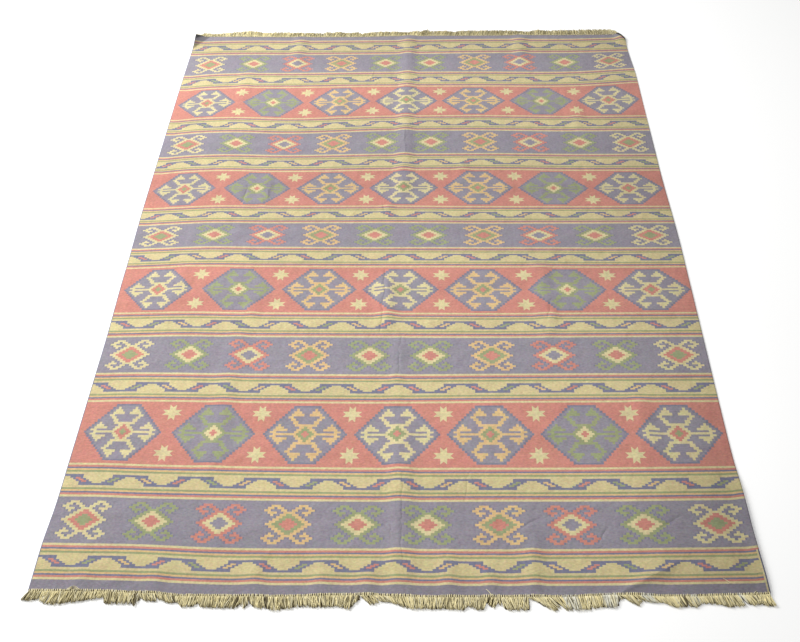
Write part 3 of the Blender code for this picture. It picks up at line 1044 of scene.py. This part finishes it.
def tuck_corner(mesh):
    """Cuts the sheet along the fold of its turned-under corner and closes the cut."""
    bm = bmesh.new()
    bm.from_mesh(mesh)
    corner_x, corner_y = plan_point(np.array(WIDTH), np.array(LENGTH))
    made = bmesh.ops.bisect_plane(
        bm,
        geom=bm.verts[:] + bm.edges[:] + bm.faces[:],
        plane_co=Vector((float(corner_x) - TUCKED_CORNER_ACROSS, float(corner_y), 0.0)),
        plane_no=Vector((TUCKED_CORNER_ALONG, TUCKED_CORNER_ACROSS, 0.0)),
        clear_outer=True,
    )
    cut = [item for item in made["geom_cut"] if isinstance(item, bmesh.types.BMEdge)]
    bmesh.ops.edgeloop_fill(bm, edges=cut)
    bm.to_mesh(mesh)
    bm.free()


class KILIM_OT_cloth(bpy.types.Operator):
    """Builds the woven field as a thin sheet with its bands and motifs"""

    bl_idname = "kilim.cloth"
    bl_label = "Woven field"

    def execute(self, context):
        mesh = cloth_mesh(context.scene.kilim_sizes)
        tuck_corner(mesh)
        put_piece(mesh, kilim_material(), "kilim_field")
        return {"FINISHED"}


# The fringes

STRAND_SIDES = 5
STRAND_STEPS = 8
STRAND_LOBES = 0.22
STRAND_TWIST = (0.5, 1.0)
ROOT_MARGIN = 0.002
ROOT_JITTER = 0.22
EDGE_CLIMB = 0.010
FLOOR_CLEARANCE = 1.25

# Clumps of strands: how far apart they are, how far each is pulled aside and puffed up
CLUMP_SPACING = 0.011
CLUMP_PULL = 0.0013
CLUMP_PUFF = (-0.0004, 0.0012)
BRIGHTEST_CLUMP = 1.20

# How far single strands differ: in reach, in their waves and their loft, in width and in tone
REACH_SCATTER = (-0.12, 0.03)
WAVE_COUNT = (3.0, 7.0)
WAVE_START = (0.0, 6.3)
WAVE_DEPTH = 0.0007
LOFT_SCATTER = (0.0, 0.0010)
LOFT_TURN = 3.1
WIDTH_SCATTER = (0.8, 1.2)
TONE_SCATTER = 0.30
WAVE_TONE = 0.16

# Shares of a strand's width at its root and lost at its tip, and where each change lies
ROOT_WIDTH = 0.72
ROOT_SWELL = 0.008
TIP_LOSS = 0.35
TIP_START = 0.8

# Painted shade of roots and gaps, tone of bleached strands, and how bleached strands are
ROOT_PAINTED_SHADE_TONE = 0.05
ROOT_SHADE = 0.006
GAP_PAINTED_SHADE_TONE = 0.22
PALE_TONE = 0.30
PALENESS = 0.5
BLEACHED = (0.3, 1.3)

# Rows of short ends over the cloth's edge: dark ones in the gaps as painted shadow, then the pale
# warps
StitchRow = namedtuple("StitchRow", "count overlap reach width faintest brightest lift")
PAINTED_SHADOW_ROW = StitchRow(560, 0.0014, 0.0046, 0.0040, 0.02, 0.10, -0.0005)
PALE_ROW = StitchRow(400, 0.0026, 0.0078, 0.0029, 0.70, 1.26, 0.0005)
STITCH_JITTER = 0.20
STITCH_WANDER = 0.0005
STITCH_START = 0.001
STITCH_SLOPE = 0.006
STITCH_DROP = 0.0012
STITCH_FLATNESS = 0.6
STITCH_WIDTHS = (0.6, 1.0, 1.0, 0.9, 0.6)
STITCH_TONES = (0.8, 1.0, 1.0, 0.9, 0.8)
STITCH_PALENESS = 0.10
LOOSE_FLATNESS = 0.8
LOOSE_TONE = 0.95
LOOSE_PALENESS = 0.4

# Layers of strands from the floor up, darker deeper down as painted shade: a dark one that
# closes the gaps, two lighter ones, and stray strands that cross them
StrandLayer = namedtuple("StrandLayer", "per_root width thickness lift tone reach stray")
STRAND_LAYERS = (
    StrandLayer(1, 0.0070, 0.0018, 0.0002, 0.06, 0.93, 0.0026),
    StrandLayer(2, 0.0028, 0.0024, 0.0016, 0.42, 1.00, 0.0034),
    StrandLayer(2, 0.0026, 0.0026, 0.0036, 0.88, 0.97, 0.0036),
    StrandLayer(0.8, 0.0024, 0.0022, 0.0048, 0.90, 0.99, 0.0075),
)

# Each fringe: its piece and solid, its seed, its woven end, which way it hangs, its outline and
# leaning, its tones, and what lies over it
FringePlan = namedtuple(
    "FringePlan",
    "name node seed y outward last edge tips lean fade faintest_clump stitches pale gaps loose")
FRINGES = (
    FringePlan(
        "near_fringe", "fringe_near", 3, 0.0, -1, WIDTH - ROOT_MARGIN, NEAR_END, NEAR_TIPS,
        NEAR_LEAN, NEAR_FADE, 0.74, (PAINTED_SHADOW_ROW, PALE_ROW), PALE_STRETCHES, GAP_STRETCHES,
        LOOSE_STRANDS),
    FringePlan(
        "far_fringe", "fringe_far", 8, LENGTH, 1, WIDTH - TUCKED_CORNER_ACROSS, FAR_END, FAR_TIPS,
        FAR_LEAN, FAR_FRINGE_PAINTED_SHADE, 0.50, (PALE_ROW,), (), (), ()),
)


def strand_tubes(centres, widths, heights, twist):
    """Points and faces of joined two-ply strands round centre lines, strands by steps by 3."""
    count, steps, _ = centres.shape
    angle = np.linspace(0.0, 2 * math.pi, STRAND_SIDES, endpoint=False)
    turn = twist[:, None, None] * np.arange(steps)[None, :, None] + angle[None, None, :]
    lobes = 1.0 + STRAND_LOBES * np.cos(2 * turn)
    points = np.repeat(centres[:, :, None, :], STRAND_SIDES, axis=2)
    points[..., 0] += widths[:, :, None] / 2 * lobes * np.cos(angle)
    points[..., 2] += heights[:, :, None] / 2 * lobes * np.sin(angle)
    index = np.arange(count * steps * STRAND_SIDES).reshape(count, steps, STRAND_SIDES)
    follow = np.roll(index, -1, axis=2)
    sides = np.stack([index[:, :-1], follow[:, :-1], follow[:, 1:], index[:, 1:]], axis=-1)
    return points.reshape(-1, 3), [sides.reshape(-1, 4), index[:, 0, ::-1], index[:, -1, :]]


class Fringe:
    """One end of the cloth, with the strands that hang from it gathered as joined tubes."""

    def __init__(self, plan, sizes):
        self.plan = plan
        self.sizes = sizes
        self.scatter = np.random.default_rng(plan.seed)
        self.points = []
        self.faces = []
        self.tones = []
        self.pales = []
        self.count = 0

    def roots(self, whole, jitter):
        """Places of strands' roots across the straight cloth, so many to its whole width."""
        span = self.plan.last - ROOT_MARGIN
        count = round(whole * span / WIDTH)
        root = ROOT_MARGIN + (np.arange(count) + 0.5) * (span / count)
        return root + self.scatter.uniform(-jitter, jitter, count) * (span / count)

    def edge(self, root):
        """Plan of the woven end and height of the cloth's underside at the roots, as columns."""
        ends = np.full(root.shape, self.plan.y)
        base_x, _ = plan_point(root, ends)
        edge_y = PLAN.y + self.plan.y + eased(self.plan.edge, root)
        return base_x[:, None], edge_y[:, None], cloth_rise(root, ends, self.sizes)[:, None]

    def add(self, centres, width, thick, tone, pale):
        """Joins tubes on the centre lines to the mesh."""
        twist = self.scatter.uniform(*STRAND_TWIST, len(width))
        points, faces = strand_tubes(np.stack(centres, axis=-1), width, thick, twist)
        self.points.append(points)
        for group in faces:
            self.faces += (group + self.count).tolist()
        for store, value in ((self.tones, tone), (self.pales, pale)):
            store.append(np.repeat(np.broadcast_to(value, width.shape).reshape(-1), STRAND_SIDES))
        self.count += len(points)

    def paleness(self, root):
        """How bleached the strands at these roots are, from 0 to 1."""
        pale = self.scatter.uniform(0.0, 1.0, root.shape) ** 4 * PALENESS
        for start, stop in self.plan.pale:
            bleached = self.scatter.uniform(*BLEACHED, root.shape)
            pale = np.where((root > start) & (root < stop), bleached, pale)
        return pale[:, None]

    def add_layer(self, layer):
        """One layer of hanging strands."""
        plan = self.plan
        scatter = self.scatter
        root = self.roots(self.sizes.root_count * layer.per_root, ROOT_JITTER)
        each = (len(root), 1)
        base_x, edge_y, rise = self.edge(root)
        clumps = np.arange(ROOT_MARGIN, plan.last + CLUMP_SPACING, CLUMP_SPACING)
        pull = np.interp(root, clumps, scatter.normal(0.0, CLUMP_PULL, len(clumps)))
        puff = np.interp(root, clumps, scatter.uniform(*CLUMP_PUFF, len(clumps)))[:, None]
        lean = np.interp(root, *zip(*plan.lean)) + pull
        lean = (lean + scatter.normal(0.0, layer.stray, len(root)))[:, None]
        reach = np.interp(base_x - PLAN.x + lean, *zip(*plan.tips)) * layer.reach
        reach = reach * (1.0 + scatter.uniform(*REACH_SCATTER, each))
        share = np.linspace(0.0, 1.0, STRAND_STEPS)[None, :]
        out = share * reach
        turns = share * scatter.uniform(*WAVE_COUNT, each)
        wave = np.sin(turns + scatter.uniform(*WAVE_START, each))
        side = lean * (0.5 * share + 0.5 * share ** 2)
        side = side + scatter.normal(0.0, WAVE_DEPTH, each) * wave * np.minimum(share * 4, 1.0)
        taper = 1.0 - TIP_LOSS * smooth_step((share - TIP_START) / (1.0 - TIP_START))
        swell = ROOT_WIDTH + (1.0 - ROOT_WIDTH) * smooth_step(out / ROOT_SWELL)
        width = layer.width * swell * taper * scatter.uniform(*WIDTH_SCATTER, each)
        thick = layer.thickness * swell * taper
        loft = (puff + scatter.uniform(*LOFT_SCATTER, each)) * np.sin(share * LOFT_TURN)
        on_floor = thick / 2 + np.maximum(loft + layer.lift, 0.0)
        on_cloth = rise + CLOTH_THICKNESS / 2
        climb = smooth_step(out / EDGE_CLIMB)
        z = np.maximum(on_cloth * (1 - climb) + on_floor * climb, thick / 2 * FLOOR_CLEARANCE)
        # Painted shade near the roots
        tone = ROOT_PAINTED_SHADE_TONE + (1.0 - ROOT_PAINTED_SHADE_TONE) * smooth_step(out / ROOT_SHADE)
        patch = scatter.uniform(plan.faintest_clump, BRIGHTEST_CLUMP, len(clumps))
        strand_tone = np.interp(root, clumps, patch) * scatter.normal(1.0, TONE_SCATTER, len(root))
        # Painted shade where the strands part over a gap
        for start, stop in plan.gaps:
            strand_tone[(root > start) & (root < stop)] *= GAP_PAINTED_SHADE_TONE
        strand_tone = strand_tone * layer.tone * np.interp(root, *zip(*plan.fade))
        tone = tone * strand_tone[:, None] * (1.0 + WAVE_TONE * wave * np.minimum(share * 3, 1.0))
        pale = self.paleness(root)
        centres = (base_x + side, edge_y + plan.outward * out, z)
        self.add(centres, width, thick, tone * (1.0 + PALE_TONE * pale), pale)

    def add_stitches(self, row):
        """Short ends of the warps, over the edge of the cloth."""
        root = self.roots(row.count, STITCH_JITTER)
        each = (len(root), 1)
        base_x, edge_y, rise = self.edge(root)
        out = np.linspace(-row.overlap, row.reach, len(STITCH_WIDTHS))[None, :]
        y = edge_y + self.plan.outward * out + self.scatter.normal(0.0, STITCH_WANDER, each)
        drop = smooth_step((out + STITCH_START) / STITCH_SLOPE)
        top = rise + CLOTH_THICKNESS + row.lift
        z = top * (1 - drop) + (top - STITCH_DROP) * drop
        width = row.width * self.scatter.uniform(*WIDTH_SCATTER, each) * np.array(STITCH_WIDTHS)
        tone = self.scatter.uniform(row.faintest, row.brightest, each) * np.array(STITCH_TONES)
        pale = self.paleness(root) + STITCH_PALENESS
        self.add((base_x + np.zeros_like(out), y, z), width, width * STITCH_FLATNESS, tone, pale)

    def add_loose(self, strand):
        """A strand that lies over the cloth."""
        share = np.linspace(0.0, 1.0, STRAND_STEPS)[None, :]
        x = strand.from_x + (strand.to_x - strand.from_x) * share
        y = strand.from_y + (strand.to_y - strand.from_y) * share
        y = y + strand.bulge * np.sin(share * math.pi)
        plan_x, plan_y = plan_point(x, np.maximum(y, 0.0))
        plan_y = plan_y + np.minimum(y, 0.0)
        z = cloth_rise(x, y, self.sizes) + CLOTH_THICKNESS + strand.width / 2
        width = np.full(share.shape, strand.width)
        self.add((plan_x, plan_y, z), width, width * LOOSE_FLATNESS, LOOSE_TONE, LOOSE_PALENESS)

    def mesh(self):
        """All the strands as one mesh, with each strand's tone and paleness."""
        for layer in STRAND_LAYERS:
            self.add_layer(layer)
        for row in self.plan.stitches:
            self.add_stitches(row)
        for strand in self.plan.loose:
            self.add_loose(strand)
        mesh = bpy.data.meshes.new(self.plan.name)
        mesh.from_pydata(np.concatenate(self.points).tolist(), [], self.faces)
        add_fact(mesh, "strand_tone", "FLOAT", np.concatenate(self.tones))
        add_fact(mesh, "strand_pale", "FLOAT", np.concatenate(self.pales))
        return mesh


class KILIM_OT_fringes(bpy.types.Operator):
    """Builds the warp fringe at each end of the cloth"""

    bl_idname = "kilim.fringes"
    bl_label = "Warp fringes"

    def execute(self, context):
        yarn = fringe_material()
        for plan in FRINGES:
            mesh = Fringe(plan, context.scene.kilim_sizes).mesh()
            put_piece(mesh, yarn, plan.node)
        return {"FINISHED"}


# The studio

CAMERA_PLACE = (0.0946, -2.9478, 2.4211)
CAMERA_TURN = (46.596, -0.163, -0.290)
CAMERA_LENS = 50.873
CAMERA_SHIFT = -0.054
SENSOR_WIDTH = 36.0
FLOOR_SIZE = 60.0
FLOOR_LEVEL = -0.0002
FLOOR_GLOW = 0.28
WORLD_LIGHT = 0.30
WINDOW_SIZE = (2.4, 3.0)
WINDOW_LIGHT = 256.0
WINDOW_PLACE = (-3.1, 1.2, 3.1)
WINDOW_TARGET = (-0.2, 0.3, 0.0)
CEILING_LIGHT = 50.0
CEILING_CONE = 36.0
CEILING_SIZE = 0.25
CEILING_PLACE = (0.12, -1.10, 3.2)
CEILING_TARGET = (0.12, -0.80, 0.0)
WHITE = (1.0, 1.0, 1.0, 1.0)


def put_lamp(lamp, energy, place, target):
    """Puts a lamp in the scene, turned towards its target."""
    lamp.energy = energy
    item = put(lamp, place)
    aim = Vector(target) - item.location
    item.rotation_euler = aim.to_track_quat("-Z", "Y").to_euler()


class KILIM_OT_studio(bpy.types.Operator):
    """Makes the pale floor, the soft light and the camera"""

    bl_idname = "kilim.studio"
    bl_label = "Studio"

    def execute(self, context):
        scene = context.scene
        bpy.ops.mesh.primitive_grid_add(size=FLOOR_SIZE, location=(0.0, 0.0, FLOOR_LEVEL))
        floor = context.object
        floor.name = "studio_floor"
        material, _, _ = new_material("floor", {
            "Base Color": (*dye("floor"), 1.0), "Roughness": 0.9,
            "Emission Color": WHITE, "Emission Strength": FLOOR_GLOW})
        floor.data.materials.append(material)

        world = bpy.data.worlds.new("studio")
        world.use_nodes = True
        background = world.node_tree.nodes["Background"]
        background.inputs["Color"].default_value = WHITE
        background.inputs["Strength"].default_value = WORLD_LIGHT
        scene.world = world

        window = bpy.data.lights.new("window", "AREA")
        window.shape = "RECTANGLE"
        window.size, window.size_y = WINDOW_SIZE
        put_lamp(window, WINDOW_LIGHT, WINDOW_PLACE, WINDOW_TARGET)
        ceiling = bpy.data.lights.new("ceiling", "SPOT")
        ceiling.spot_size = math.radians(CEILING_CONE)
        ceiling.spot_blend = 1.0
        ceiling.shadow_soft_size = CEILING_SIZE
        put_lamp(ceiling, CEILING_LIGHT, CEILING_PLACE, CEILING_TARGET)

        camera_data = bpy.data.cameras.new("camera")
        camera_data.lens = CAMERA_LENS
        camera_data.sensor_width = SENSOR_WIDTH
        camera_data.shift_x = CAMERA_SHIFT
        camera = put(camera_data, CAMERA_PLACE)
        camera.rotation_euler = [math.radians(angle) for angle in CAMERA_TURN]
        scene.camera = camera
        scene.view_settings.view_transform = "Standard"
        return {"FINISHED"}


class KILIM_PT_panel(bpy.types.Panel):
    """Lists the steps that build the rug"""

    bl_label = "Kilim rug"
    bl_idname = "KILIM_PT_panel"
    bl_space_type = "VIEW_3D"
    bl_region_type = "UI"
    bl_category = "Kilim"

    def draw(self, context):
        layout = self.layout
        for group in (context.scene.kilim_sizes, context.scene.kilim_dyes):
            for name in type(group).__annotations__:
                layout.prop(group, name)
        for operator in OPERATORS:
            layout.operator(operator.bl_idname)


OPERATORS = (KILIM_OT_cloth, KILIM_OT_fringes, KILIM_OT_studio)
CLASSES = (KilimSizes, KilimDyes) + OPERATORS + (KILIM_PT_panel,)


def register():
    for item in CLASSES:
        bpy.utils.register_class(item)
    bpy.types.Scene.kilim_sizes = bpy.props.PointerProperty(type=KilimSizes)
    bpy.types.Scene.kilim_dyes = bpy.props.PointerProperty(type=KilimDyes)


def unregister():
    del bpy.types.Scene.kilim_dyes
    del bpy.types.Scene.kilim_sizes
    for item in reversed(CLASSES):
        bpy.utils.unregister_class(item)


def main():
    register()
    bpy.ops.kilim.cloth()
    bpy.ops.kilim.fringes()
    bpy.ops.kilim.studio()


if __name__ == "__main__":
    main()
